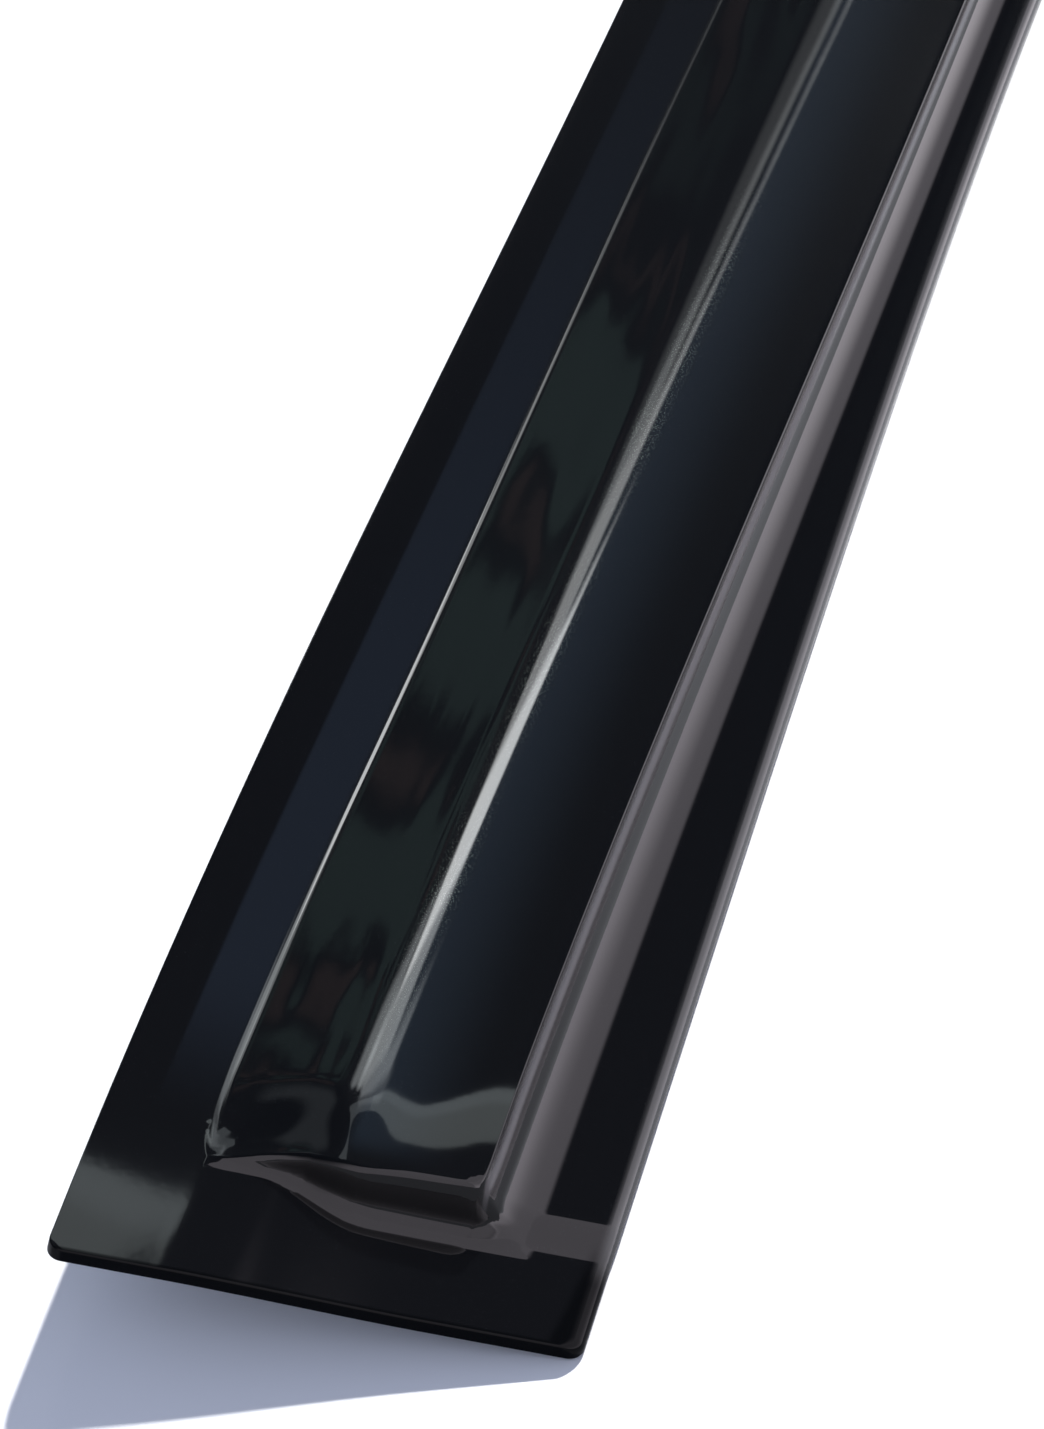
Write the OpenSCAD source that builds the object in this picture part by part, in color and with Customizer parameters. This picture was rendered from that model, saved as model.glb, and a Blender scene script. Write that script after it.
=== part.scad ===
// Side window rain deflector, moulded in one piece from dark acrylic sheet.
// It lies outer face up on three corners: the near lip corner and the whole far end.
// The spine runs along +Y from the near end, the mounting flange is on the -X side,
// the lip on the +X side, and +Z points away from the window glass.

/* [Body] */
// Length along the lip, from end to end
body_len = 700; // [560:5:900]
// Thickness of the sheet
wall = 3; // [2:0.1:4]
// How far the far end sweeps towards the lip side
sweep = 61.4; // [45:0.2:80]
// How late the sweep begins: a higher power keeps the near part straighter
sweep_power = 4.4; // [3.6:0.1:5]

/* [Mounting flange] */
// Width of the flat band that goes against the window frame
flange_w = 18.7; // [12:0.1:26]
// Concave radius between the flange and the hood
crease_r = 8; // [4:0.5:12]
// Angle by which the near end is rolled, flange side up
roll = 11; // [6:0.5:12]
// Distance from the near end at which the roll has died out
roll_len = 480; // [420:5:520]

/* [Hood] */
// Width of the steeper slope next to the flange
slope_w = 22.7; // [18:0.1:30]
// Width of the flatter top between the kink and the crest
top_w = 25.2; // [18:0.1:34]
// Pitch of the flatter top
top_pitch = 4; // [2:0.5:6]
// Width over which the two slopes blend at the kink
kink_w = 9; // [4:0.5:12]
// Height of the crest over the lip at the near end
crest_near = 10.8; // [9:0.1:14]
// Height of the crest over the lip at the far end
crest_far = 6.4; // [5.5:0.1:9]
// Width over which the crest is rounded
crest_w = 1.8; // [1:0.1:3]

/* [Lip] */
// Width of the flat lip at the near end
lip_near = 13.4; // [9:0.1:20]
// Width of the flat lip at the far end
lip_far = 4.1; // [3.2:0.1:8]
// Distance over which the lip and the crest come down to their far sizes
taper_len = 380; // [320:5:500]
// Angle of the wall between the lip and the crest
side_angle = 72; // [64:1:76]
// Concave radius at the foot of that wall, at the near end
side_fillet_near = 12.1; // [7:0.1:14]
// Concave radius at the foot of that wall, at the far end
side_fillet_far = 8.7; // [5:0.1:10]
// Radius of the lip's outer edge
lip_edge_r = 2.2; // [1:0.1:2.6]

/* [Ends] */
// Width of the flat flange before the near end wall
near_flange = 17; // [13:0.5:26]
// Width of the flat flange after the far end wall
far_flange = 20; // [14:0.5:30]
// Angle of the end walls
end_angle = 74; // [62:1:76]
// Concave radius at the foot of the end walls
end_fillet = 4; // [3:0.5:8]
// Plan radius of the hood's corner at the flange side of the near end wall
hood_corner = 16; // [8:1:20]
// Width over which the corner between the side wall and the near end wall is rounded
corner_w = 3; // [1:0.5:5]
// Skew of the near end cut, flange corner foremost
end_skew = 9.7; // [0:0.1:14]
// Step from the lip down to the near end flange
end_step = 1.2; // [0.4:0.1:1.8]
// Distance of that step from the foot of the near end wall, and its length
step_gap = 2; // [0:0.5:4]
step_len = 8; // [5:0.5:10]
// Share by which the slope sags where it meets the near end wall
end_sag = 0.45; // [0:0.05:0.6]
// Distance over which it sags
sag_len = 16; // [10:1:24]
// Radius of the outer edge along the flange and both ends
edge_r = 0.6; // [0.6:0.1:1.6]
// Plan radius of the near corner on the flange side
near_flange_corner = 3; // [2:0.5:8]
// Plan radius of the near corner on the lip side
near_lip_corner = 2.5; // [2:0.5:8]
// Plan radius of the far corner on the flange side
far_flange_corner = 12; // [6:0.5:16]
// Plan radius of the far corner on the lip side
far_lip_corner = 5; // [2:0.5:6]

/* [Hidden] */

// Spacing of the rows where the shell runs plain
row_step = 28;
// Spacing of the rows over the end walls, over the sag and over the end flanges
wall_row_step = 1.1;
sag_row_step = 3;
flange_row_step = 4;
// Length over which the rows turn from the skewed end cut to square
fan_len = 150;
// Columns in the fillets, and the rows in each rounded corner
fillet_steps = 6;
fillet_span = 70;
crease_steps = 4;
corner_steps = 6;
// Share of the crest's width between the crest line and the last column of the side wall
wall_top_share = 0.8;
// Height of the hood at which the step has died out
step_cover = 5;
// Distance from the foot of the near end wall at which the sag is deepest
sag_gap = 4;

top_slope = tan(top_pitch);
side_slope = tan(side_angle);

// Smooth change from 0 to 1
function ease(t) = let(c = min(max(t, 0), 1)) c * c * (3 - 2 * c);

// Height of a wall at distance x from its foot, with a concave fillet there
function rise(x, r, a) =
    x <= 0 ? 0
    : x < r * sin(a) ? r - sqrt(r * r - x * x)
    : r * (1 - cos(a)) + (x - r * sin(a)) * tan(a);

// Lower of two heights, blended over k; neither comes out below 0
function soft_min(a, b, k) =
    let(w = min(k, a + b))
    w <= 0 ? 0
    : min(a, b) - pow(max(w - abs(a - b), 0), 2) / w / 4;

// Drop of a quarter-round edge at distance x from the boundary
function edge_drop(x, r) = x >= r ? 0 : r - sqrt(r * r - pow(r - max(x, 0), 2));

// The section at station y: u is measured from the lip edge towards the flange
function shrink(y) = 1 - ease(y / taper_len);
function lip_w(y) = lip_far + (lip_near - lip_far) * shrink(y);
function crest_h(y) = crest_far + (crest_near - crest_far) * shrink(y);
function side_fillet(y) = side_fillet_far + (side_fillet_near - side_fillet_far) * shrink(y);
function run_to(h, r, a) =
    let(arc_top = r * (1 - cos(a)))
    h < arc_top ? sqrt(h * (2 * r - h)) : r * sin(a) + (h - arc_top) / tan(a);
function u_crest(y) = lip_w(y) + run_to(crest_h(y), side_fillet(y), side_angle);
function u_kink(y) = u_crest(y) + top_w;
function u_crease(y) = u_kink(y) + slope_w;
function u_flange(y) = u_crease(y) + flange_w;
function slope_angle(y) = atan((crest_h(y) - top_w * top_slope) / slope_w);
function u_hood(y) = u_crease(y) + crease_r * tan(slope_angle(y) / 2);

// The near end cut and the foot of the near end wall
near_w = u_flange(0);
function cut_y(u) = tan(end_skew) * (near_w - u);
function foot_y(u) = near_flange + cut_y(u) + edge_drop(u_crease(0) - u, hood_corner);

// Share of the hood's height that is left where the slope sags
function sagged(u, y) =
    let(
        across = ease((u - u_kink(y) + kink_w) / (slope_w + kink_w)),
        along = 1 - ease((y - foot_y(u) - sag_gap) / sag_len)
    )
    1 - end_sag * across * along;

// Height over the lip plane at (u, y); t is 0 on the outer face and the wall on the inner face
function hood(u, y, t) =
    let(
        slope = rise(u_hood(y) - u, crease_r + t, slope_angle(y)),
        top = crest_h(y) - (u - u_crest(y)) * top_slope + t - t / cos(top_pitch),
        side = rise(u - lip_w(y), side_fillet(y) + t, side_angle),
        near = rise(y - foot_y(u), end_fillet + t, end_angle),
        far = rise(body_len - far_flange - y, end_fillet + t, end_angle),
        kink_k = kink_w / 2 * (tan(slope_angle(y)) - top_slope),
        crest_k = crest_w / 2 * (side_slope + top_slope),
        walls = soft_min(soft_min(side, near, corner_w * side_slope), far, crest_k)
    )
    soft_min(soft_min(slope, top, kink_k) * sagged(u, y), walls, crest_k);

// The near end flange lies one small step below the lip plane, but level with the mounting flange;
// h is the height of the hood there
function step_down(u, y, h) =
    let(
        across = 1 - ease((u - u_crest(y)) / (u_crease(y) - u_crest(y))),
        along = 1 - ease((y - foot_y(u) - step_gap) / step_len)
    )
    end_step * across * along * (1 - ease(h / step_cover));

// Where the boundary of the shell runs at row distance v from the near end
function corner_in(v, r) = edge_drop(v, r);
function lip_bound(v) = corner_in(v, near_lip_corner) + corner_in(body_len - v, far_lip_corner);
function flange_bound(v, y) =
    u_flange(y) - corner_in(v, near_flange_corner) - corner_in(body_len - v, far_flange_corner);

// Station of the point at u in the row at distance v
function row_y(u, v) = v + cut_y(u) * (1 - ease(v / fan_len));

// Where the features of the section lie on the outer face, or on the inner face at depth t
function features(y, t) =
    let(
        a = slope_angle(y),
        crest = u_crest(y) + t * (1 / cos(side_angle) - 1 / cos(top_pitch)) / (side_slope + top_slope),
        kink = u_kink(y) - t * (1 / cos(a) - 1 / cos(top_pitch)) / (tan(a) - top_slope),
        wall_top = crest - wall_top_share * crest_w
    )
    [
        for (k = [0:fillet_steps])
            lip_w(y) + (wall_top - lip_w(y)) * sin(fillet_span * k / fillet_steps) / sin(fillet_span),
        for (k = [-1, -0.35, 0.35, 1]) crest + k * crest_w / 2,
        for (k = [1:3]) crest + (kink - crest) * k / 4,
        for (k = [-1:0.5:1]) kink + k * kink_w / 2,
        for (k = [1:2]) kink + kink_w / 2 + (u_crease(y) - crease_r - kink - kink_w / 2) * k / 3,
        for (k = [crease_steps:-1:0]) u_hood(y) - (crease_r + t) * sin(a * k / crease_steps),
        u_crease(y) + flange_w / 2
    ];

// All columns of a row, squeezed into its rounded corners
lip_cols = [for (k = [0:3]) lip_edge_r * (1 - cos(30 * k))];
flange_cols = [for (k = [2:-1:0]) edge_r * (1 - cos(45 * k))];
function squeeze(u, low, high, y) =
    u < u_crest(y) ? low + u * (1 - low / u_crest(y))
    : u > u_crease(y) ? high - (u_flange(y) - u) * (high - u_crease(y)) / flange_w
    : u;
function columns(v, t) =
    let(
        y = v + cut_y(u_kink(0)) * (1 - ease(v / fan_len)),
        f = features(y, t),
        all = [
            each lip_cols,
            (lip_edge_r + f[0]) / 2,
            each f,
            for (u = flange_cols) u_flange(y) - u
        ]
    )
    [for (u = all) squeeze(u, lip_bound(v), flange_bound(v, y), y)];

// Rows: close together at the rounded corners and over the end walls
near_r = max(near_lip_corner, near_flange_corner);
far_r = max(far_lip_corner, far_flange_corner);
near_wall_end = near_flange + step_gap + step_len + wall;
far_wall_start = body_len - far_flange - end_fillet - crest_far / tan(end_angle) - wall;
near_wall_start = near_flange - step_gap;
sag_end = max(near_flange + sag_gap + sag_len, near_wall_end + sag_row_step);
function spread(a, b, step) =
    let(n = ceil((b - a) / step)) [for (k = [0:n - 1]) a + (b - a) * k / n];
rows = [
    for (k = [0:corner_steps - 1]) near_r * (1 - cos(90 * k / corner_steps)),
    each spread(near_r, near_wall_start, flange_row_step),
    each spread(near_wall_start, near_wall_end, wall_row_step),
    each spread(near_wall_end, sag_end, sag_row_step),
    each spread(sag_end, far_wall_start - row_step, row_step),
    each spread(far_wall_start - row_step, far_wall_start, row_step / 2),
    each spread(far_wall_start, body_len - far_flange, wall_row_step),
    each spread(body_len - far_flange, body_len - far_r, flange_row_step),
    for (k = [corner_steps:-1:0]) body_len - far_r * (1 - cos(90 * k / corner_steps))
];

// From section to space: swept sideways, rolled flange side up, and lifted off the step
function place(u, y, z) =
    let(
        s = y / body_len,
        turn = atan(sweep * sweep_power / body_len * pow(max(s, 0), sweep_power - 1)),
        a = roll * (1 - ease(y / roll_len)),
        across = u * cos(a) - z * sin(a)
    )
    [
        sweep * pow(max(s, 0), sweep_power) - across * cos(turn),
        y + across * sin(turn),
        u * sin(a) + z * cos(a) + end_step * (1 - ease(y / roll_len))
    ];

function face_point(u, v, t) =
    let(
        y = row_y(u, v),
        from_flange = flange_bound(v, y) - u,
        from_end = min(v, body_len - v),
        h = hood(u, y, t),
        edge = t > 0 ? 0
            : max(
                edge_drop(u - lip_bound(v), lip_edge_r),
                edge_drop(from_flange, edge_r),
                edge_drop(from_end, edge_r)
            )
    )
    place(u, y, h - t - step_down(u, y, h) - edge);

function face_grid(t) = [for (v = rows) [for (u = columns(v, t)) face_point(u, v, t)]];

// A closed skin round two grids of points, the second one under the first
function flatten(grid) = [for (row = grid) each row];
function skin_faces(nr, nc) =
    let(
        under = nr * nc,
        ring = [
            for (j = [0:nc - 1]) j,
            for (i = [1:nr - 1]) i * nc + nc - 1,
            for (j = [nc - 2:-1:0]) (nr - 1) * nc + j,
            for (i = [nr - 2:-1:1]) i * nc
        ],
        n = len(ring)
    )
    [
        for (i = [0:nr - 2], j = [0:nc - 2])
            let(a = i * nc + j, b = a + 1, c = a + nc + 1, d = a + nc)
            each [[a, c, b], [a, d, c], [under + a, under + b, under + c], [under + a, under + c, under + d]],
        for (k = [0:n - 1])
            let(a = ring[k], b = ring[(k + 1) % n])
            each [[a, b, under + b], [a, under + b, under + a]]
    ];

outer = flatten(face_grid(0));
inner = flatten(face_grid(wall));
shell_points = concat(outer, inner);
low_x = min([for (p = shell_points) p.x]);
high_x = max([for (p = shell_points) p.x]);
low_y = min([for (p = shell_points) p.y]);
high_y = max([for (p = shell_points) p.y]);
low_z = min([for (p = shell_points) p.z]);

// The origin lies under the middle of the shell, on the surface that it rests on
module deflector_shell() {
    color([0.05, 0.055, 0.065])
        translate([-(low_x + high_x) / 2, -(low_y + high_y) / 2, -low_z])
            polyhedron(points = shell_points, faces = skin_faces(len(rows), len(columns(0, 0))), convexity = 6);
}

deflector_shell();
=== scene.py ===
import math

import bpy
import numpy as np
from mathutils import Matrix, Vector


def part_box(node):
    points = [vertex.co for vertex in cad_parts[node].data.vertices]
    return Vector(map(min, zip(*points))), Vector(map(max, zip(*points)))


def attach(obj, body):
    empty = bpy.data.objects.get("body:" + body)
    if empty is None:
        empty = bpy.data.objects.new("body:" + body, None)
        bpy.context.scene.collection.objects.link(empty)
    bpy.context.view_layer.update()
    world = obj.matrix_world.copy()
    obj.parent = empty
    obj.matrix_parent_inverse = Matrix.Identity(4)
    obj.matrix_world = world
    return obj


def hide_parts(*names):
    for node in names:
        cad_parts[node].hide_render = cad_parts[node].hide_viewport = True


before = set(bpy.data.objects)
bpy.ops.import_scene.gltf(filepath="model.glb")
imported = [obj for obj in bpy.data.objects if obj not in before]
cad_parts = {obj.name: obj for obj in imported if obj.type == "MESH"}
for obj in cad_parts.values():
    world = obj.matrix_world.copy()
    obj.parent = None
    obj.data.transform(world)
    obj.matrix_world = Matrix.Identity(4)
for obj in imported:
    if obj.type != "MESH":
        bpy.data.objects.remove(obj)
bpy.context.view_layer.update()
MM = 0.001

# The form of the shell, in millimetres and degrees, as the part's source gives it
BODY_LEN, WALL = 700.0, 3.0
SWEEP, SWEEP_POWER = 61.4, 4.4
FLANGE_W, CREASE_R = 18.7, 8.0
ROLL, ROLL_LEN = 11.0, 480.0
SLOPE_W, TOP_W, TOP_PITCH, KINK_W = 22.7, 25.2, 4.0, 9.0
CREST_NEAR, CREST_FAR, CREST_W = 10.8, 6.4, 0.5
LIP_NEAR, LIP_FAR, TAPER_LEN = 13.4, 4.1, 380.0
SIDE_ANGLE, SIDE_FILLET_NEAR, SIDE_FILLET_FAR, LIP_EDGE_R = 72.0, 12.1, 8.7, 2.2
NEAR_FLANGE, FAR_FLANGE, END_ANGLE, END_FILLET = 17.0, 20.0, 74.0, 4.0
END_SKEW, END_STEP, STEP_LEN, STEP_GAP = 9.7, 1.2, 8.0, 2.0
END_SAG, SAG_LEN, SAG_GAP = 0.45, 16.0, 4.0
CORNER_W, STEP_COVER, HOOD_CORNER = 3.0, 5.0, 16.0
EDGE_R, NEAR_FLANGE_CORNER, NEAR_LIP_CORNER = 0.25, 3.0, 2.5
FAR_FLANGE_CORNER, FAR_LIP_CORNER = 12.0, 5.0

# Finer form of the near end wall: how far it leans back from its foot to its top edge, the width
# of that edge, and the span over which that becomes the crest's width
WALL_RUN, END_EDGE_W, END_EDGE_SPAN = 4.0, 1.5, 8.0
# How much finer its fillet gets towards the mounting flange, and how far its foot draws back
FINER_BY, FINER_FROM, FINER_SPAN = 2.2, 40.0, 22.0
RECEDE, RECEDE_FROM, RECEDE_SPAN = 6.5, 42.0, 20.0
# How the top rolls over towards it: the slope at the edge and the length, which is greater beside
# the crest and the kink, each with the place and the span of the change
ROLL_OVER_SLOPE, ROLL_OVER_LEN, ROLL_OVER_END = 0.060, 23.0, 1.3
ROLL_MORE_AT_CREST, CREST_ROLL_FROM, CREST_ROLL_SPAN = 12.0, 1.0, 14.0
ROLL_MORE_AT_KINK, KINK_ROLL_FROM, KINK_ROLL_SPAN = 5.0, -12.0, 9.0
# The hood's corner beside it sinks by this share of its height over this span
CORNER_SAG, CORNER_SPAN, CORNER_FULL = 0.5, 9.0, 0.8
# Slight wander of the crease: (by, at which station, over what length)
CREASE_WANDER = [(-0.9, 158.0, 62.0), (0.5, 300.0, 50.0)]
# Slight wave in the mounting flange at its near corner
FLANGE_WAVE, WAVE_TURNS, FLANGE_WAVE_FROM, FLANGE_WAVE_LEN = 0.006, 0.8, 18.0, 40.0
WAVE_INTO_SLOPE, WAVE_FADE = 6.0, 8.0

# Columns in each stretch of the section, from the lip's edge to the flange's
COLUMNS = {"lip edge": 9, "lip": 8, "side wall": 22, "rim": 3, "crest": 12, "top": 16, "kink": 14,
           "slope": 10, "crease": 14, "flange": 12, "flange edge": 7}
# The rim starts this share of the crest's width below it, and the side wall's columns are spread
# like the sine of angles up to this one
RIM_DEPTH, WALL_SPREAD = 0.8, 70.0
# Rows round the near and far corners, the rows between them as (from, to, step), closest over the
# end walls, and the stretch over which they turn from the near end's skew to square
NEAR_CORNER_ROWS, FAR_CORNER_ROWS = 14, 12
ROW_STRETCHES = [(3.0, 11.0, 1.0), (11.0, 35.0, 0.3), (35.0, 72.0, 1.5), (72.0, 640.0, 568.0 / 112),
                 (640.0, 655.0, 1.5), (655.0, 682.0, 0.75), (682.0, 688.0, 1.0)]
ROWS_ALONG_END, FAN_LEN = 42.0, 150.0
SMOOTH_ANGLE = 40.0


def tan_of(degrees):
    return math.tan(math.radians(degrees))


SIDE_SLOPE, TOP_SLOPE = tan_of(SIDE_ANGLE), tan_of(TOP_PITCH)
SIDE_RAD, END_RAD = math.radians(SIDE_ANGLE), math.radians(END_ANGLE)
TOP_COS = math.cos(math.radians(TOP_PITCH))


def ease(t):
    c = np.clip(t, 0, 1)
    return c * c * (3 - 2 * c)


def rise(x, radius, angle):
    """Height of a wall at distance x from its foot, with a concave fillet there."""
    arc = radius - np.sqrt(np.maximum(radius * radius - np.clip(x, 0, radius) ** 2, 0))
    line = radius * (1 - np.cos(angle)) + (x - radius * np.sin(angle)) * np.tan(angle)
    return np.where(x <= 0, 0, np.where(x < radius * np.sin(angle), arc, line))


def soft_min(a, b, rounding):
    """The lower of two heights, with the edge between them rounded."""
    w = np.minimum(rounding, a + b)
    eaten = np.maximum(w - np.abs(a - b), 0) ** 2 / np.maximum(w, 1e-9) / 4
    return np.where(w <= 0, 0, np.minimum(a, b) - eaten)


def edge_drop(x, radius):
    """Drop of a quarter-round edge at distance x from the boundary."""
    inside = np.clip(x, 0, radius)
    return radius - np.sqrt(np.maximum(radius**2 - (radius - inside) ** 2, 0))


def crease_drift(y):
    """Slight wander of the crease along the shell."""
    return sum(by * np.exp(-(((y - at) / span) ** 2)) for by, at, span in CREASE_WANDER)


def section(y):
    """Where the features of the section lie at station y, from the lip edge."""
    shrink = 1 - ease(y / TAPER_LEN)
    lip = LIP_FAR + (LIP_NEAR - LIP_FAR) * shrink
    height = CREST_FAR + (CREST_NEAR - CREST_FAR) * shrink
    fillet = SIDE_FILLET_FAR + (SIDE_FILLET_NEAR - SIDE_FILLET_FAR) * shrink
    fillet_top = fillet * (1 - math.cos(SIDE_RAD))
    on_arc = np.sqrt(np.maximum(height * (2 * fillet - height), 0))
    past_arc = fillet * math.sin(SIDE_RAD) + (height - fillet_top) / SIDE_SLOPE
    crest = lip + np.where(height < fillet_top, on_arc, past_arc)
    kink = crest + TOP_W
    slope_w = SLOPE_W + crease_drift(y)
    crease = kink + slope_w
    slope = np.arctan((height - TOP_W * TOP_SLOPE) / slope_w)
    hood = crease + CREASE_R * np.tan(slope / 2)
    return dict(lip=lip, fillet=fillet, height=height, crest=crest, kink=kink, crease=crease,
                flange=kink + SLOPE_W + FLANGE_W, slope=slope, hood=hood)


NEAR_END = section(0.0)


def cut_y(u):
    """Station of the skewed near edge at distance u from the lip edge."""
    return tan_of(END_SKEW) * (NEAR_END["flange"] - u)


def skew(v):
    """How far the rows still run along the skewed near end at station v."""
    return 1 - ease((v - ROWS_ALONG_END) / FAN_LEN)


def end_fillet(u):
    """Radius at the foot of the near end wall, finer towards the mounting flange."""
    return END_FILLET - FINER_BY * ease((u - FINER_FROM) / FINER_SPAN)


def foot_y(u):
    """Station of the foot of the near end wall."""
    corner = edge_drop(NEAR_END["crease"] - u, HOOD_CORNER)
    drawn_back = RECEDE * ease((u - RECEDE_FROM) / RECEDE_SPAN)
    return NEAR_FLANGE + cut_y(u) + np.maximum(corner, drawn_back)


def beside_wall(u, y, gap, length):
    """1 up to a gap past the near end wall's foot, from there falling to 0 over a length."""
    return 1 - ease((y - foot_y(u) - gap) / length)


def roll_over(u, y):
    """Drop of the top where it rolls over towards the near end wall."""
    at_crest = 1 - ease((u - NEAR_END["crest"] - CREST_ROLL_FROM) / CREST_ROLL_SPAN)
    at_kink = ease((u - NEAR_END["kink"] - KINK_ROLL_FROM) / KINK_ROLL_SPAN)
    reach = ROLL_OVER_LEN + ROLL_MORE_AT_CREST * at_crest + ROLL_MORE_AT_KINK * at_kink
    left = np.clip(1 - (y - foot_y(u) - WALL_RUN) / reach, 0, ROLL_OVER_END)
    return ROLL_OVER_SLOPE * reach / 2 * left**2


def flange_wave(u, y):
    """Lift of the mounting flange along its near corner."""
    s = section(y)
    across = (u - s["crease"]) / (s["flange"] - s["crease"])
    on_flange = ease((u - s["crease"] + WAVE_INTO_SLOPE) / WAVE_FADE)
    near_corner = 1 - ease((y - cut_y(u) - FLANGE_WAVE_FROM) / FLANGE_WAVE_LEN)
    return -FLANGE_WAVE * np.cos(2 * np.pi * WAVE_TURNS * across) * on_flange * near_corner


def end_sag(u, y):
    """Share of the hood's height that is left where its slope sags towards the near end wall."""
    s = section(y)
    across = ease((u - s["kink"] + KINK_W) / (SLOPE_W + KINK_W))
    corner = ease((u - s["crease"] + CORNER_SPAN) / (CORNER_FULL * CORNER_SPAN))
    slope_left = 1 - END_SAG * across * beside_wall(u, y, SAG_GAP, SAG_LEN)
    return slope_left * (1 - CORNER_SAG * corner * beside_wall(u, y, WALL_RUN / 2, CORNER_SPAN))


def step_down(u, y):
    """Drop of the near end flange below the lip, fading out towards the mounting flange."""
    s = section(y)
    fade = 1 - ease((u - s["crest"]) / (s["crease"] - s["crest"]))
    return END_STEP * fade * beside_wall(u, y, STEP_GAP, STEP_LEN)


def hood_height(u, y, t):
    """Height over the lip plane; t is 0 on the outer face and the wall on the inner face."""
    s = section(y)
    slope = rise(s["hood"] - u, CREASE_R + t, s["slope"])
    top = s["height"] - (u - s["crest"]) * TOP_SLOPE + t - t / TOP_COS - roll_over(u, y)
    side = rise(u - s["lip"], s["fillet"] + t, SIDE_RAD)
    near = rise(y - foot_y(u), end_fillet(u) + t, END_RAD)
    far = rise(BODY_LEN - FAR_FLANGE - y, END_FILLET + t, END_RAD)
    kink_round = KINK_W / 2 * (np.tan(s["slope"]) - TOP_SLOPE)
    crest_w = CREST_W + (END_EDGE_W - CREST_W) * beside_wall(u, y, WALL_RUN, END_EDGE_SPAN)
    crest_round = crest_w / 2 * (SIDE_SLOPE + TOP_SLOPE)
    walls = soft_min(soft_min(side, near, CORNER_W * SIDE_SLOPE), far, crest_round)
    return soft_min(soft_min(slope, top, kink_round) * end_sag(u, y), walls, crest_round)


def lip_bound(v):
    return edge_drop(v, NEAR_LIP_CORNER) + edge_drop(BODY_LEN - v, FAR_LIP_CORNER)


def flange_bound(v, y):
    corners = edge_drop(v, NEAR_FLANGE_CORNER) + edge_drop(BODY_LEN - v, FAR_FLANGE_CORNER)
    return section(y)["flange"] - corners


def shares(stretch):
    """0, 1/n … (n - 1)/n for a stretch of n columns."""
    return np.arange(COLUMNS[stretch]) / COLUMNS[stretch]


def between(start, end, stretch):
    """The columns of a stretch, evenly from start on, with the end left to the next stretch."""
    return start[:, None] + (end - start)[:, None] * shares(stretch)


def columns(v, t):
    """Places of the points along each row, close together where the section turns."""
    y = v + cut_y(NEAR_END["kink"]) * skew(v)
    s = section(y)
    crest = s["crest"] + t * (1 / math.cos(SIDE_RAD) - 1 / TOP_COS) / (SIDE_SLOPE + TOP_SLOPE)
    kink = s["kink"] - t * (1 / np.cos(s["slope"]) - 1 / TOP_COS) / (np.tan(s["slope"]) - TOP_SLOPE)
    crest_low, crest_high = crest - CREST_W / 2, crest + CREST_W / 2
    kink_low, kink_high = kink - KINK_W / 2, kink + KINK_W / 2
    wall_top = crest - RIM_DEPTH * CREST_W
    crease_top = s["hood"] - (CREASE_R + t) * np.sin(s["slope"])
    lip_edge = 0 * y + LIP_EDGE_R
    quarter = np.radians(90 * shares("lip edge"))
    spread = math.radians(WALL_SPREAD)
    swing = np.sin(spread * shares("side wall")) / math.sin(spread)
    bend = np.sin(s["slope"][:, None] * (1 - shares("crease")))
    flange_turn = np.radians(np.linspace(90, 0, COLUMNS["flange edge"]))
    u = np.concatenate([
        lip_edge[:, None] * (1 - np.cos(quarter)),
        between(lip_edge, s["lip"], "lip"),
        s["lip"][:, None] + (wall_top - s["lip"])[:, None] * swing,
        between(wall_top, crest_low, "rim"),
        between(crest_low, crest_high, "crest"),
        between(crest_high, kink_low, "top"),
        between(kink_low, kink_high, "kink"),
        between(kink_high, crease_top, "slope"),
        s["hood"][:, None] - (CREASE_R + t) * bend,
        between(s["hood"], s["flange"] - EDGE_R, "flange"),
        s["flange"][:, None] - EDGE_R * (1 - np.cos(flange_turn)),
    ], axis=1)
    low, high = lip_bound(v)[:, None], flange_bound(v, y)[:, None]
    flange, crease, crest = (s[name][:, None] for name in ("flange", "crease", "crest"))
    on_flange = high - (flange - u) * (high - crease) / (flange - crease)
    return np.where(u < crest, low + u * (1 - low / crest), np.where(u > crease, on_flange, u))


def corner_rows(radius, count):
    return radius * (1 - np.cos(np.radians(np.arange(count) * 90 / count)))


def rows():
    """Stations of the rows, close together over the end walls and in the rounded corners."""
    stations = [corner_rows(NEAR_FLANGE_CORNER, NEAR_CORNER_ROWS)]
    for start, end, step in ROW_STRETCHES:
        stations.append(start + step * np.arange(math.ceil(round((end - start) / step, 6))))
    stations.append(BODY_LEN - corner_rows(FAR_FLANGE_CORNER, FAR_CORNER_ROWS)[::-1])
    return np.concatenate(stations)


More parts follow.
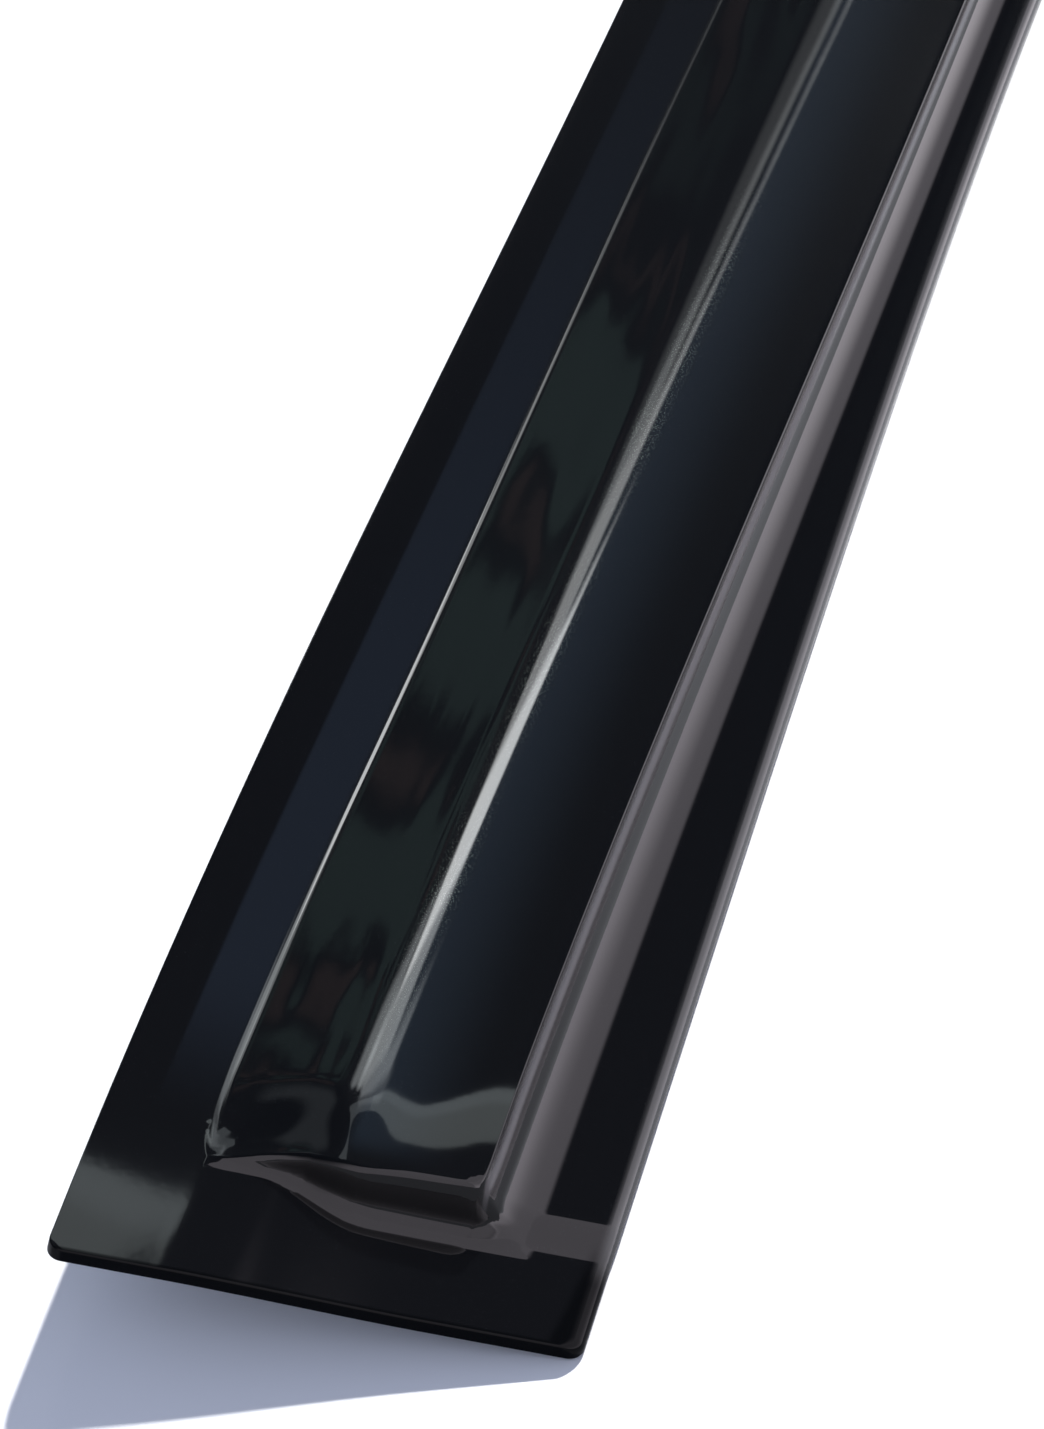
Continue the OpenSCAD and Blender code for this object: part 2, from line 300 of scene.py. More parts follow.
def shell_points(t):
    """The grid of points of the outer face (t 0) or of the inner face (t the wall), in metres."""
    v = rows()
    u = columns(v, t)
    v = v[:, None]
    y = v + cut_y(u) * skew(v)
    height = hood_height(u, y, t)
    z = height - t - step_down(u, y) * (1 - ease(height / STEP_COVER)) + flange_wave(u, y)
    if t == 0:
        from_ends = np.minimum(v, BODY_LEN - v) + 0 * u
        z = z - np.maximum.reduce([edge_drop(u - lip_bound(v), LIP_EDGE_R),
                                   edge_drop(flange_bound(v, y) - u, EDGE_R),
                                   edge_drop(from_ends, EDGE_R)])
    share = np.clip(y / BODY_LEN, 0, None)
    turn = np.arctan(SWEEP * SWEEP_POWER / BODY_LEN * share ** (SWEEP_POWER - 1))
    near_share = 1 - ease(y / ROLL_LEN)
    roll = np.radians(ROLL) * near_share
    across = u * np.cos(roll) - z * np.sin(roll)
    return MM * np.stack([
        SWEEP * share**SWEEP_POWER - across * np.cos(turn),
        y + across * np.sin(turn),
        u * np.sin(roll) + z * np.cos(roll) + END_STEP * near_share,
    ], axis=-1)


def column_at(stretch, step):
    """Number of the column that lies some steps into a stretch."""
    names = list(COLUMNS)
    return sum(COLUMNS[name] for name in names[:names.index(stretch)]) + step


# Lines along the shell that painted light and finishes follow, as columns of the outer face's grid,
# the stations at which they are read, and the two columns, from either side, that give the near edge
LINES = {"lip edge": column_at("lip edge", 0), "crest": column_at("rim", 1),
         "top": column_at("crest", 10), "kink": column_at("kink", 6),
         "crease": column_at("crease", 9), "flange middle": column_at("flange", 6)}
LINE_STATIONS = np.linspace(0.0, BODY_LEN, 29)
NEAR_EDGE_COLUMNS = [20, -20]
shell_lines = {}


def deselect_all():
    bpy.ops.object.select_all(action="DESELECT")


def face_grid(name, points, flip):
    """A grid primitive laid over the points of one face."""
    n_rows, n_cols = points.shape[:2]
    deselect_all()
    bpy.ops.mesh.primitive_grid_add(x_subdivisions=n_cols - 1, y_subdivisions=n_rows - 1, size=1)
    face = bpy.context.object
    face.name = name
    face.data.vertices.foreach_set("co", points.reshape(-1).astype(np.float32))
    face.data.update()
    if flip:
        bpy.ops.object.mode_set(mode="EDIT")
        bpy.ops.mesh.select_all(action="SELECT")
        bpy.ops.mesh.flip_normals()
        bpy.ops.object.mode_set(mode="OBJECT")
    return face


def shell_faces():
    """Both faces of the shell, fitted inside the box of the solid that they replace."""
    faces = [shell_points(0.0), shell_points(WALL)]
    both = np.concatenate([face.reshape(-1, 3) for face in faces])
    low, high = both.min(0), both.max(0)
    box_low, box_high = (np.array(corner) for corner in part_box("deflector_shell"))
    within = np.minimum((box_high - box_low) / (high - low), 1)
    shift = (box_low + box_high) / 2 - (low + (low + (high - low) * within)) / 2
    shift[2] = box_low[2] - low[2]
    return [low + (face - low) * within + shift for face in faces]


def build_shell():
    """The moulded shell: an outer and an inner face, closed round the rim."""
    outer, inner = shell_faces()
    stations = np.clip(np.searchsorted(rows(), LINE_STATIONS), 0, len(outer) - 1)
    for name, column in LINES.items():
        shell_lines[name] = outer[stations, column, :2]
    shell_lines["near edge"] = outer[0, NEAR_EDGE_COLUMNS, :2]
    top = face_grid("rain_deflector", outer, True)
    under = face_grid("inner_face", inner, False)
    deselect_all()
    under.select_set(True)
    top.select_set(True)
    bpy.context.view_layer.objects.active = top
    bpy.ops.object.join()
    bpy.ops.object.mode_set(mode="EDIT")
    bpy.ops.mesh.select_mode(type="EDGE")
    bpy.ops.mesh.select_all(action="DESELECT")
    bpy.ops.mesh.select_non_manifold()
    bpy.ops.mesh.bridge_edge_loops()
    bpy.ops.mesh.select_all(action="SELECT")
    bpy.ops.mesh.normals_make_consistent(inside=False)
    bpy.ops.object.mode_set(mode="OBJECT")
    bpy.ops.object.shade_smooth_by_angle(angle=math.radians(SMOOTH_ANGLE))
    return top


# Node helpers
FLOAT, VECTOR = "NodeSocketFloat", "NodeSocketVector"


def new_node(tree, kind, **values):
    node = tree.nodes.new(kind)
    for name, value in values.items():
        setattr(node, name, value)
    return node


def join(tree, source, target):
    tree.links.new(source, target)


def maths(tree, operation, *values):
    node = new_node(tree, "ShaderNodeMath", operation=operation)
    for socket, value in zip(node.inputs, values):
        if isinstance(value, (int, float)):
            socket.default_value = value
        else:
            join(tree, value, socket)
    return node.outputs[0]


def product(tree, masks):
    result = masks[0]
    for mask in masks[1:]:
        result = maths(tree, "MULTIPLY", result, mask)
    return result


def soft_step(tree, value, none_at, full_at):
    ramp = new_node(tree, "ShaderNodeMapRange", interpolation_type="SMOOTHSTEP")
    join(tree, value, ramp.inputs["Value"])
    ramp.inputs["From Min"].default_value = none_at
    ramp.inputs["From Max"].default_value = full_at
    return ramp.outputs["Result"]


def noise(tree, vector, scale, detail):
    node = new_node(tree, "ShaderNodeTexNoise")
    node.inputs["Scale"].default_value = scale
    node.inputs["Detail"].default_value = detail
    join(tree, vector, node.inputs["Vector"])
    return node.outputs["Fac"]


def mix_colours(tree, factor, under, over):
    mix = new_node(tree, "ShaderNodeMix", data_type="RGBA")
    for label, value in (("Factor", factor), ("A", under), ("B", over)):
        if isinstance(value, tuple):
            mix.inputs[label].default_value = (*value, 1)
        else:
            join(tree, value, mix.inputs[label])
    return mix.outputs["Result"]


def mix_shaders(tree, factor, first, second):
    mix = new_node(tree, "ShaderNodeMixShader")
    if isinstance(factor, float):
        mix.inputs[0].default_value = factor
    else:
        join(tree, factor, mix.inputs[0])
    join(tree, first, mix.inputs[1])
    join(tree, second, mix.inputs[2])
    return mix.outputs[0]


def empty_tree(owner):
    owner.use_nodes = True
    owner.node_tree.nodes.clear()
    return owner.node_tree


def object_place(tree):
    """Object coordinates, and their x, y and z apart."""
    place = new_node(tree, "ShaderNodeTexCoord").outputs["Object"]
    parts = new_node(tree, "ShaderNodeSeparateXYZ")
    join(tree, place, parts.inputs[0])
    return place, parts.outputs["X"], parts.outputs["Y"], parts.outputs["Z"]


def to_output(tree, kind, shader):
    join(tree, shader, new_node(tree, kind).inputs["Surface"])


def make_group(name, inputs, outputs):
    group = bpy.data.node_groups.new(name, "ShaderNodeTree")
    for label, kind in inputs:
        group.interface.new_socket(name=label, in_out="INPUT", socket_type=kind)
    for label, kind in outputs:
        group.interface.new_socket(name=label, in_out="OUTPUT", socket_type=kind)
    return group, group.nodes.new("NodeGroupInput"), group.nodes.new("NodeGroupOutput")


def use_group(tree, group, vector, **values):
    node = new_node(tree, "ShaderNodeGroup", node_tree=group)
    join(tree, vector, node.inputs["Vector"])
    for label, value in values.items():
        node.inputs[label.replace("_", " ")].default_value = value
    return node


# The acrylic. Colours under the gloss: the smoked sheet, painted light through the inner half of the
# mounting flange, a painted reflection on the top beside the kink, painted highlights along the
# crest's line and the lip's edge, dust, and specks painted bright as a glint on the kink
SMOKED, PAINTED_LIGHT_THROUGH = (0.0012, 0.0014, 0.0018), (0.0050, 0.0070, 0.0105)
KINK_PAINTED_REFLECTION, CREST_PAINTED_HIGHLIGHT = (0.0060, 0.0088, 0.0122), (0.11, 0.108, 0.115)
LIP_EDGE_PAINTED_HIGHLIGHT, DUST, PAINTED_GLINT = (0.055, 0.056, 0.058), (0.10, 0.11, 0.12), (0.20, 0.24, 0.20)
# Where each mask of painted light and of the surface lies: steps (measured from, nothing at, full at)
# in metres, multiplied. A line's name means the distance from it towards the mounting flange
PAINTED_LIGHT_AND_FINISH_MASKS = {
    # painted light: the inner half of the mounting flange drawn lighter and bluer, for light from below
    # coming through the sheet
    "band": [("flange middle", 0.0009, -0.0001), ("crease", -0.0005, 0.0012),
             ("along", 0.12, -0.30), ("near corner", 0.03, 0.07)],
    # painted reflection: the top beside the kink drawn lighter, like the soft reflection beside the
    # kink's highlight
    "kink painted reflection": [("top", 0.004, 0.026), ("kink", 0.001, -0.002), ("near wall", 0.0, 0.006)],
    # painted highlight: a light line drawn along the crest
    "crest line": [("crest", -0.0010, -0.0005), ("crest", 0.0001, -0.0003),
                   ("near wall", 0.0, 0.006)],
    # painted highlight: the rounded lip edge drawn lighter, as it mirrors the bright floor
    "lip edge painted highlight": [("lip edge", 0.0028, 0.0004)],
    "near rim": [("near edge", 0.0012, 0.0006)],
    "lip end": [("lip edge", 0.0045, 0.0025), ("near edge", 0.024, 0.014)],
    # painted glint: specks drawn bright only along the kink's highlight
    "painted_glint_specks": [("kink", -0.0035, -0.0015), ("kink", 0.0035, 0.0015),
                ("along", -0.02, -0.12), ("along", -0.320, -0.290)],
    "slope": [("kink", 0.003, 0.008), ("crease", -0.002, -0.007)],
}
# Gloss: most of the surface is clear, and a share of it has a broad sheen. The near rim and the
# lip's end mirror less
REFRACTION, CLEAR_ROUGHNESS, HAZE, HAZE_SCALE = 1.49, 0.02, 0.03, 18.0
SHEEN_SHARE, SHEEN_ROUGHNESS, SPECULAR, RIM_SPECULAR = 0.10, 0.27, 0.5, 0.12
# Moulding waves, waves drawn out along the slope, and orange peel: heights in metres and scales
WAVE_HEIGHT, DRAWN_HEIGHT, PEEL_HEIGHT = 0.00004, 0.0003, 0.000001
WAVE_SCALE, DRAWN_SCALE, PEEL_SCALE, DRAWN_OUT = 28.0, 75.0, 420.0, (1.0, 0.16, 1.0)
# Dust and painted glint: scale of the specks and how much they cover, and scale of their clusters
DUST_SCALE, DUST_COVER, GLINT_SPECK_SCALE, GLINT_SPECK_COVER = 1500.0, 0.12, 3200.0, 0.45
CLUSTER_SCALE = 60.0


def waves_group():
    """Surface normal of moulded sheet: long soft waves, drawn-out waves and a fine orange peel."""
    group, source, sink = make_group(
        "moulding_waves", [("Vector", VECTOR), ("Wave height", FLOAT), ("Drawn height", FLOAT),
                           ("Peel height", FLOAT)], [("Normal", VECTOR)])
    place = source.outputs["Vector"]
    drawn = new_node(group, "ShaderNodeVectorMath", operation="MULTIPLY")
    join(group, place, drawn.inputs[0])
    drawn.inputs[1].default_value = DRAWN_OUT
    normal = None
    for label, scale, pattern in (("Wave height", WAVE_SCALE, place),
                                  ("Drawn height", DRAWN_SCALE, drawn.outputs[0]),
                                  ("Peel height", PEEL_SCALE, place)):
        bump = new_node(group, "ShaderNodeBump")
        bump.inputs["Strength"].default_value = 1.0
        join(group, source.outputs[label], bump.inputs["Distance"])
        join(group, noise(group, pattern, scale, detail=1.0), bump.inputs["Height"])
        if normal is not None:
            join(group, normal, bump.inputs["Normal"])
        normal = bump.outputs["Normal"]
    join(group, normal, sink.inputs["Normal"])
    return group


def haze_group():
    """Polish that varies from place to place."""
    group, source, sink = make_group(
        "polish_haze", [("Vector", VECTOR), ("Clean roughness", FLOAT), ("Haze", FLOAT)],
        [("Roughness", FLOAT)])
    cloud = noise(group, source.outputs["Vector"], HAZE_SCALE, detail=3.0)
    added = maths(group, "MULTIPLY", cloud, source.outputs["Haze"])
    join(group, maths(group, "ADD", source.outputs["Clean roughness"], added), sink.inputs["Roughness"])
    return group


def dust_and_glint_speck_group():
    """Mask of fine specks, sparse and clustered: dust, and the painted glint on the kink."""
    group, source, sink = make_group(
        "dust_and_glint_specks", [("Vector", VECTOR), ("Speck scale", FLOAT), ("Cover", FLOAT)], [("Mask", FLOAT)])
    cells = new_node(group, "ShaderNodeTexVoronoi", feature="F1")
    join(group, source.outputs["Vector"], cells.inputs["Vector"])
    join(group, source.outputs["Speck scale"], cells.inputs["Scale"])
    cluster = noise(group, source.outputs["Vector"], CLUSTER_SCALE, detail=2.0)
    speck = new_node(group, "ShaderNodeMapRange")
    join(group, cells.outputs["Distance"], speck.inputs["Value"])
    join(group, maths(group, "MULTIPLY", cluster, source.outputs["Cover"]), speck.inputs["From Max"])
    speck.inputs["From Min"].default_value = 0.0
    speck.inputs["To Min"].default_value = 1.0
    speck.inputs["To Max"].default_value = 0.0
    join(group, speck.outputs["Result"], sink.inputs["Mask"])
    return group


def line_curve(tree, y, name):
    """Where a line of the shell runs: its x at each y."""
    points = shell_lines[name]
    low, high = points.min(0), points.max(0)
    place = new_node(tree, "ShaderNodeMapRange")
    place.inputs["From Min"].default_value, place.inputs["From Max"].default_value = low[1], high[1]
    join(tree, y, place.inputs["Value"])
    curve = new_node(tree, "ShaderNodeFloatCurve")
    line = curve.mapping.curves[0]
    for k, (x, at) in enumerate((points - low) / (high - low)):
        if k < 2:
            line.points[k].location = (at, x)
        else:
            line.points.new(at, x)
    curve.mapping.update()
    join(tree, place.outputs["Result"], curve.inputs["Value"])
    across = new_node(tree, "ShaderNodeMapRange")
    across.inputs["To Min"].default_value, across.inputs["To Max"].default_value = low[0], high[0]
    join(tree, curve.outputs[0], across.inputs["Value"])
    return across.outputs["Result"]


def shell_rulers(tree, x, y):
    """Distances, in metres, that the painted light and the finishes are measured by."""
    rulers = {name: maths(tree, "SUBTRACT", line_curve(tree, y, name), x) for name in LINES}
    rulers["along"] = y
    rulers["near corner"] = maths(tree, "SUBTRACT", y, float(shell_lines["crease"][0, 1]))
    wall_y = float(shell_lines["crest"][0, 1]) + MM * (NEAR_FLANGE + WALL_RUN)
    rulers["near wall"] = maths(tree, "SUBTRACT", y, wall_y)
    (x_right, y_right), (x_left, y_left) = shell_lines["near edge"].tolist()
    lean = (y_left - y_right) / (x_left - x_right)
    edge_y = maths(tree, "MULTIPLY_ADD", x, lean, y_right - lean * x_right)
    rulers["near edge"] = maths(tree, "SUBTRACT", y, edge_y)
    return rulers


def acrylic_material():
    material = bpy.data.materials.new("smoked_acrylic")
    tree = empty_tree(material)
    place, x, y, _ = object_place(tree)
    rulers = shell_rulers(tree, x, y)
    masks = {name: product(tree, [soft_step(tree, rulers[ruler], *limits) for ruler, *limits in steps])
             for name, steps in PAINTED_LIGHT_AND_FINISH_MASKS.items()}
    dim = maths(tree, "MAXIMUM", masks["near rim"], masks["lip end"])
    specks = dust_and_glint_speck_group()
    dust = use_group(tree, specks, place, Speck_scale=DUST_SCALE, Cover=DUST_COVER)
    # Specks drawn bright only along the kink's highlight: a painted glint
    painted_glint_specks = use_group(tree, specks, place, Speck_scale=GLINT_SPECK_SCALE, Cover=GLINT_SPECK_COVER)
    painted_glint_specks = maths(tree, "MULTIPLY", masks["painted_glint_specks"], painted_glint_specks.outputs["Mask"])
    colour = SMOKED
    # Painted light over the sheet's colour: light through the flange, the kink's reflection, highlights
    # on the crest and the lip's edge, and the glint specks; dust is the sheet's own
    for mask, over in ((masks["band"], PAINTED_LIGHT_THROUGH), (masks["kink painted reflection"], KINK_PAINTED_REFLECTION),
                       (masks["crest line"], CREST_PAINTED_HIGHLIGHT), (masks["lip edge painted highlight"], LIP_EDGE_PAINTED_HIGHLIGHT),
                       (dust.outputs["Mask"], DUST), (painted_glint_specks, PAINTED_GLINT), (dim, SMOKED)):
        colour = mix_colours(tree, mask, colour, over)
    haze = use_group(tree, haze_group(), place, Clean_roughness=CLEAR_ROUGHNESS, Haze=HAZE)
    waves = use_group(tree, waves_group(), place, Wave_height=WAVE_HEIGHT, Peel_height=PEEL_HEIGHT)
    join(tree, maths(tree, "MULTIPLY", masks["slope"], DRAWN_HEIGHT), waves.inputs["Drawn height"])
    specular = maths(tree, "MULTIPLY_ADD", dim, RIM_SPECULAR - SPECULAR, SPECULAR)
    surfaces = []
    for _ in ("clear", "sheen"):
        surface = new_node(tree, "ShaderNodeBsdfPrincipled")
        surface.inputs["IOR"].default_value = REFRACTION
        join(tree, specular, surface.inputs["Specular IOR Level"])
        join(tree, colour, surface.inputs["Base Color"])
        join(tree, waves.outputs["Normal"], surface.inputs["Normal"])
        surfaces.append(surface)
    clear, sheen = surfaces
    join(tree, haze.outputs["Roughness"], clear.inputs["Roughness"])
    sheen.inputs["Roughness"].default_value = SHEEN_ROUGHNESS
    gloss = mix_shaders(tree, SHEEN_SHARE, clear.outputs[0], sheen.outputs[0])
    to_output(tree, "ShaderNodeOutputMaterial", gloss)
    return material


# The studio as the glossy shell sees it: windows of light in degrees, azimuth to the right of
# the camera's line of sight: (from, to, softness, from elevation, to, softness, colour, strength)
AMBIENT = (0.045, 0.052, 0.075)
WINDOWS = [
    (-8.0, -4.0, 2.0, 33.0, 36.0, 1.6, (0.93, 0.98, 1.0), 0.5),
    (-6.8, -3.6, 1.6, 35.8, 37.8, 1.2, (0.93, 0.98, 1.0), 2.0),
    (-6.0, -1.0, 1.6, 37.6, 40.8, 1.4, (0.96, 0.99, 1.0), 3.9),
    (-5.8, 2.0, 1.8, 40.8, 44.6, 1.4, (0.96, 0.99, 1.0), 11.0),
    (-13.0, -6.5, 2.5, 42.0, 46.5, 2.0, (0.93, 0.99, 1.02), 2.6),
    (-9.0, 2.0, 2.5, 44.4, 48.2, 2.0, (0.93, 0.99, 1.02), 4.2),
    (-6.0, 9.0, 3.0, 48.0, 51.0, 2.0, (0.93, 1.0, 1.05), 2.7),
    (-8.0, 11.0, 3.0, 50.6, 54.0, 1.6, (0.93, 1.0, 1.05), 0.9),
    (35.5, 150.0, 9.0, -14.0, 54.6, 1.4, (1.0, 0.93, 1.02), 1.45),
    (45.0, 150.0, 16.0, -6.0, 14.0, 40.0, (1.0, 0.93, 1.02), 1.5),
    (28.5, 190.0, 1.6, 54.6, 95.0, 1.2, (1.0, 0.93, 1.02), 1.25),
    (-190.0, -135.0, 10.0, 55.0, 95.0, 6.0, (1.0, 0.93, 1.02), 1.2),
    (150.0, 190.0, 20.0, -8.0, 55.0, 6.0, (1.0, 0.93, 1.02), 1.2),
    (-190.0, -140.0, 20.0, -8.0, 55.0, 6.0, (1.0, 0.93, 1.02), 1.2),
    (5.0, 24.9, 0.5, 52.35, 55.5, 0.14, (0.90, 1.0, 1.0), 1.4),
    (-16.0, 5.0, 0.5, 52.35, 55.5, 0.14, (0.90, 1.0, 1.06), 0.95),
    (5.0, 24.9, 0.9, 52.3, 53.2, 0.5, (0.86, 1.0, 1.12), 0.4),
    (-60.0, -25.0, 6.0, 42.0, 48.0, 3.0, (0.90, 1.0, 1.06), 0.3),
]
# Planting, seen faintly in the slope: its window, its two colours and where each starts to show
# in the pattern and is full
GARDEN, GARDEN_SCALE = (-44.0, -10.5, 4.0, 29.0, 41.0, 4.0), 34.0
LEAVES, LEAVES_IN, BARK, BARK_IN = (0.15, 0.24, 0.22), (0.47, 0.53), (0.19, 0.13, 0.115), (0.42, 0.36)
# Waves in the windows' level edges, in degrees
WAVY, WAVE_SIZE = 0.5, 9.0
FILL, BACKDROP = (0.31, 0.35, 0.47), (0.93, 0.94, 0.96)
# The fill light is stronger from the left: its strength there and elsewhere, and over what stretch
FILL_LEFT, FILL_REST, FILL_TURN = 2.7, 0.75, (-0.1, -0.8)

# Camera: place in metres, yaw to the left and angle down in degrees, lens and sensor in millimetres
CAMERA_PLACE, CAMERA_YAW, CAMERA_DOWN = (0.1976, -1.0825, 0.9993), 14.708, 47.761
LENS, SENSOR_W = 184.09, 36.0
# Key light: azimuth to the right of the camera's line of sight, elevation and spread in degrees
KEY_AZIMUTH, KEY_ELEVATION, KEY_SPREAD = 18.0, 41.0, 2.0
KEY_STRENGTH, KEY_COLOUR = 5.2, (1.0, 0.98, 0.95)
# Card of light on the right: its x, length and height, where along y and z it brightens, strength
CARD_X, CARD_LEN, CARD_TALL = 0.5, 1.6, 0.6
CARD_ALONG, CARD_UP = (0.08, 0.55), (0.5, 0.1)
CARD_STRENGTH, CARD_COLOUR = 1.9, (1.0, 0.95, 0.98)
# Floor: size, its two near tones, and how its mirror image darkens towards the camera
FLOOR_SIZE, FLOOR_TONE, FLOOR_PALER, TONE_SCALE = 8.0, (0.80, 0.81, 0.82), (0.83, 0.84, 0.85), 3.0
MIRROR_DARK, MIRROR_ALONG, MIRROR_SHARE = (0.05, 0.05, 0.06), (-0.10, -0.34), 0.75


def window_group():
    """Mask of a soft-edged rectangle of sky, in degrees of azimuth and elevation."""
    group, source, sink = make_group(
        "sky_window",
        [("Azimuth", FLOAT), ("Elevation", FLOAT), ("From azimuth", FLOAT), ("To azimuth", FLOAT),
         ("Azimuth softness", FLOAT), ("From elevation", FLOAT), ("To elevation", FLOAT),
         ("Elevation softness", FLOAT)],
        [("Mask", FLOAT)])
    given = source.outputs
    masks = []
    for angle, name in ((given["Azimuth"], "azimuth"), (given["Elevation"], "elevation")):
        half = maths(group, "MULTIPLY", given[name.capitalize() + " softness"], 0.5)
        for edge, before, after in (("From ", 0.0, 1.0), ("To ", 1.0, 0.0)):
            ramp = new_node(group, "ShaderNodeMapRange", interpolation_type="SMOOTHSTEP")
            join(group, angle, ramp.inputs["Value"])
            join(group, maths(group, "SUBTRACT", given[edge + name], half), ramp.inputs["From Min"])
            join(group, maths(group, "ADD", given[edge + name], half), ramp.inputs["From Max"])
            ramp.inputs["To Min"].default_value = before
            ramp.inputs["To Max"].default_value = after
            masks.append(ramp.outputs["Result"])
    join(group, product(group, masks), sink.inputs["Mask"])
    return group


def background(tree, colour, strength=1.0):
    node = new_node(tree, "ShaderNodeBackground")
    if isinstance(colour, tuple):
        node.inputs["Color"].default_value = (*colour, 1)
    else:
        join(tree, colour, node.inputs["Color"])
    if isinstance(strength, float):
        node.inputs["Strength"].default_value = strength
    else:
        join(tree, strength, node.inputs["Strength"])
    return node.outputs[0]


def studio_world():
    world = bpy.data.worlds.new("studio")
    bpy.context.scene.world = world
    tree = empty_tree(world)
    direction = new_node(tree, "ShaderNodeTexCoord").outputs["Generated"]
    turned = new_node(tree, "ShaderNodeVectorRotate", rotation_type="Z_AXIS")
    turned.inputs["Angle"].default_value = -math.radians(CAMERA_YAW)
    join(tree, direction, turned.inputs["Vector"])
    parts = new_node(tree, "ShaderNodeSeparateXYZ")
    join(tree, turned.outputs[0], parts.inputs[0])
    azimuth = maths(tree, "DEGREES", maths(tree, "ARCTAN2", parts.outputs["X"], parts.outputs["Y"]))
    level = maths(tree, "DEGREES", maths(tree, "ARCSINE", parts.outputs["Z"]))
    wave = maths(tree, "SUBTRACT", noise(tree, direction, WAVE_SIZE, detail=2.0), 0.5)
    elevation = maths(tree, "MULTIPLY_ADD", wave, WAVY, level)
    group = window_group()
    labels = ("From azimuth", "To azimuth", "Azimuth softness", "From elevation", "To elevation",
              "Elevation softness")
    planting = noise(tree, direction, GARDEN_SCALE, detail=2.0)
    sky = [(*row, None) for row in WINDOWS]
    sky += [(*GARDEN, LEAVES, 1.0, soft_step(tree, planting, *LEAVES_IN)),
            (*GARDEN, BARK, 1.0, soft_step(tree, planting, *BARK_IN))]
    total = None
    for *edges, colour, strength, pattern in sky:
        window = new_node(tree, "ShaderNodeGroup", node_tree=group)
        join(tree, azimuth, window.inputs["Azimuth"])
        join(tree, elevation, window.inputs["Elevation"])
        for label, value in zip(labels, edges):
            window.inputs[label].default_value = value
        mask = window.outputs["Mask"]
        if pattern is not None:
            mask = maths(tree, "MULTIPLY", mask, pattern)
        lit = new_node(tree, "ShaderNodeVectorMath", operation="SCALE")
        lit.inputs[0].default_value = [part * strength for part in colour]
        join(tree, mask, lit.inputs["Scale"])
        add = new_node(tree, "ShaderNodeVectorMath", operation="ADD")
        join(tree, lit.outputs[0], add.inputs[0])
        if total is None:
            add.inputs[1].default_value = AMBIENT
        else:
            join(tree, total, add.inputs[1])
        total = add.outputs[0]
    leftward = soft_step(tree, parts.outputs["X"], *FILL_TURN)
    fill_strength = maths(tree, "MULTIPLY_ADD", leftward, FILL_LEFT - FILL_REST, FILL_REST)
    path = new_node(tree, "ShaderNodeLightPath").outputs
    shown = mix_shaders(tree, path["Is Diffuse Ray"], background(tree, total),
                        background(tree, FILL, fill_strength))
    shown = mix_shaders(tree, path["Is Camera Ray"], shown, background(tree, BACKDROP))
    to_output(tree, "ShaderNodeOutputWorld", shown)


def floor_material():
    material = bpy.data.materials.new("studio_floor")
    tree = empty_tree(material)
    place, _, y, _ = object_place(tree)
    tone = mix_colours(tree, noise(tree, place, TONE_SCALE, detail=3.0), FLOOR_TONE, FLOOR_PALER)
    mirrored = new_node(tree, "ShaderNodeLightPath").outputs["Is Glossy Ray"]
    dim = maths(tree, "MULTIPLY", soft_step(tree, y, *MIRROR_ALONG), MIRROR_SHARE)
    surface = new_node(tree, "ShaderNodeBsdfDiffuse")
    join(tree, mix_colours(tree, maths(tree, "MULTIPLY", mirrored, dim), tone, MIRROR_DARK),
         surface.inputs["Color"])
    from_below = new_node(tree, "ShaderNodeNewGeometry").outputs["Backfacing"]
    clear = new_node(tree, "ShaderNodeBsdfTransparent")
    to_output(tree, "ShaderNodeOutputMaterial",
              mix_shaders(tree, from_below, surface.outputs[0], clear.outputs[0]))
    return material


def add_floor():
    deselect_all()
    bpy.ops.mesh.primitive_plane_add(size=FLOOR_SIZE, location=(0, 0, 0))
    floor = bpy.context.object
    floor.name = "floor"
    floor.data.materials.append(floor_material())


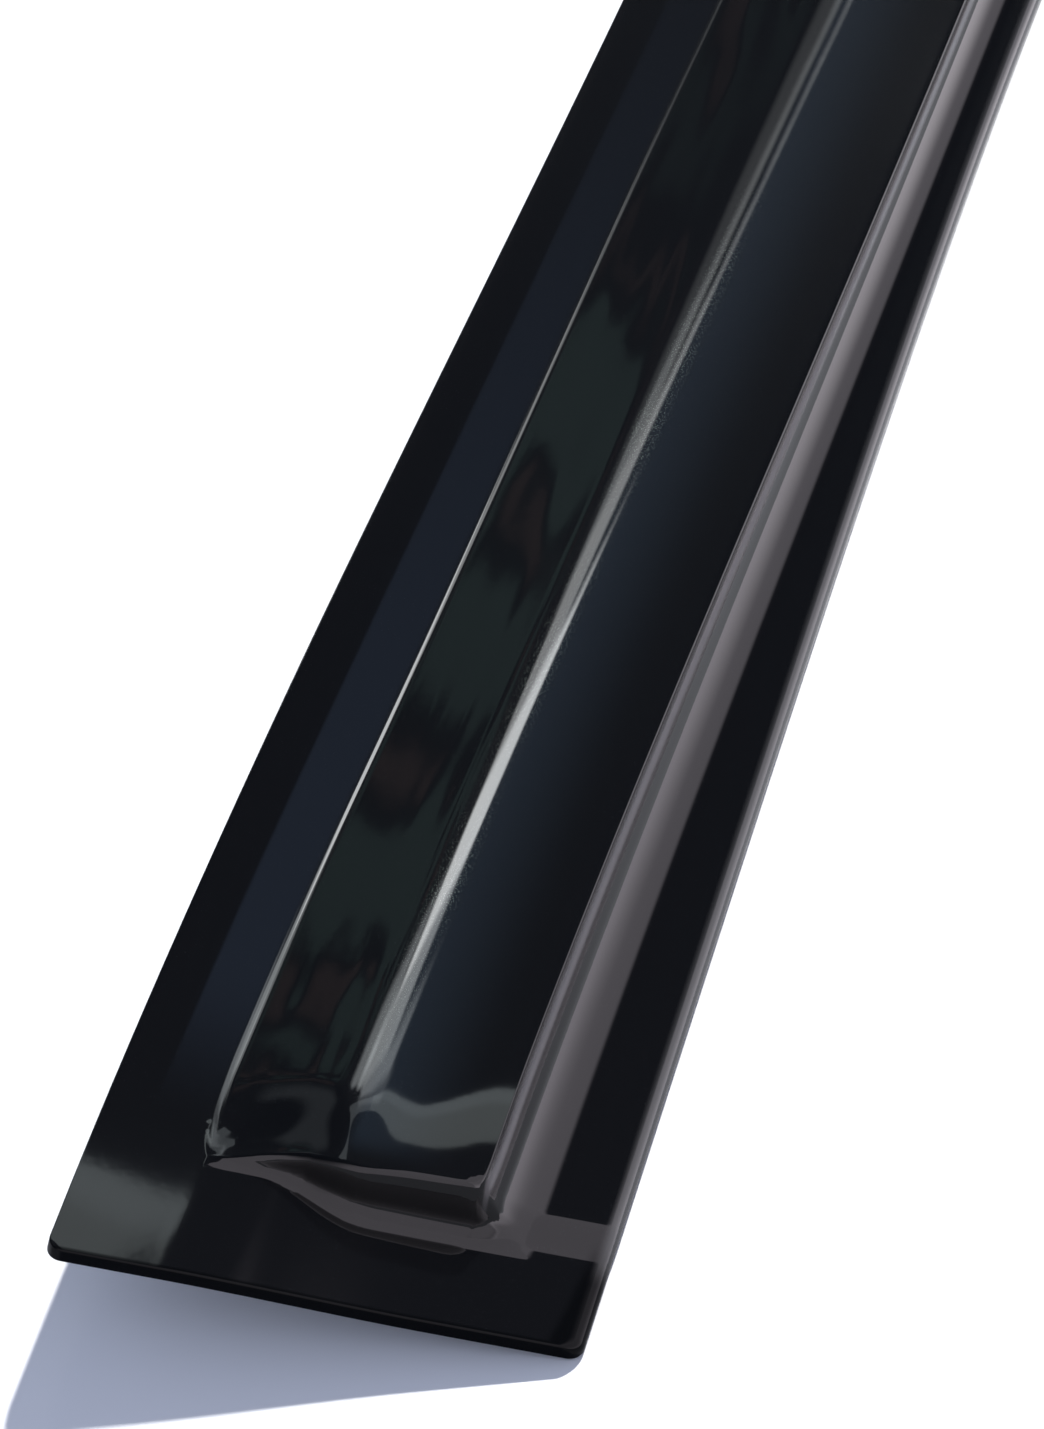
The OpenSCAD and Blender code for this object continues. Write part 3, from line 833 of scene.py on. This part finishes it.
def card_material():
    material = bpy.data.materials.new("side_card")
    tree = empty_tree(material)
    _, _, y, z = object_place(tree)
    light = product(tree, [soft_step(tree, y, *CARD_ALONG), soft_step(tree, z, *CARD_UP)])
    glow = new_node(tree, "ShaderNodeEmission")
    glow.inputs["Color"].default_value = (*CARD_COLOUR, 1)
    join(tree, maths(tree, "MULTIPLY", light, CARD_STRENGTH), glow.inputs["Strength"])
    total = new_node(tree, "ShaderNodeAddShader")
    join(tree, glow.outputs[0], total.inputs[0])
    join(tree, new_node(tree, "ShaderNodeBsdfTransparent").outputs[0], total.inputs[1])
    to_output(tree, "ShaderNodeOutputMaterial", total.outputs[0])
    return material


def add_side_card():
    """A tall card of light to the right, brighter beside the far half of the shell."""
    deselect_all()
    bpy.ops.mesh.primitive_plane_add(size=1.0, location=(0, 0, 0))
    card = bpy.context.object
    card.name = "side_card"
    corners = [(CARD_X, y, z) for z in (0.0, CARD_TALL) for y in (0.0, CARD_LEN)]
    card.data.vertices.foreach_set("co", [part for corner in corners for part in corner])
    card.data.update()
    card.data.materials.append(card_material())
    card.visible_camera = card.visible_diffuse = card.visible_shadow = False


def add_key_light():
    """A distant lamp, like the sun."""
    azimuth, elevation = math.radians(KEY_AZIMUTH - CAMERA_YAW), math.radians(KEY_ELEVATION)
    level = math.cos(elevation)
    towards = Vector((math.sin(azimuth) * level, math.cos(azimuth) * level, math.sin(elevation)))
    lamp = bpy.data.lights.new("key_light", "SUN")
    lamp.energy = KEY_STRENGTH
    lamp.color = KEY_COLOUR
    lamp.angle = math.radians(KEY_SPREAD)
    sun = bpy.data.objects.new("key_light", lamp)
    bpy.context.scene.collection.objects.link(sun)
    sun.rotation_mode = "QUATERNION"
    sun.rotation_quaternion = towards.to_track_quat("Z", "Y")
    sun.visible_glossy = False


def add_camera():
    data = bpy.data.cameras.new("camera")
    data.sensor_width = SENSOR_W
    data.lens = LENS
    camera = bpy.data.objects.new("camera", data)
    bpy.context.scene.collection.objects.link(camera)
    bpy.context.scene.camera = camera
    camera.location = CAMERA_PLACE
    yaw, down = math.radians(CAMERA_YAW), math.radians(CAMERA_DOWN)
    ahead = Vector((-math.sin(yaw) * math.cos(down), math.cos(yaw) * math.cos(down), -math.sin(down)))
    camera.rotation_mode = "QUATERNION"
    camera.rotation_quaternion = ahead.to_track_quat("-Z", "Y")


shell = build_shell()
shell.data.materials.append(acrylic_material())
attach(shell, "root")
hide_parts("deflector_shell")
add_floor()
studio_world()
add_key_light()
add_side_card()
add_camera()
bpy.context.scene.view_settings.view_transform = "Standard"
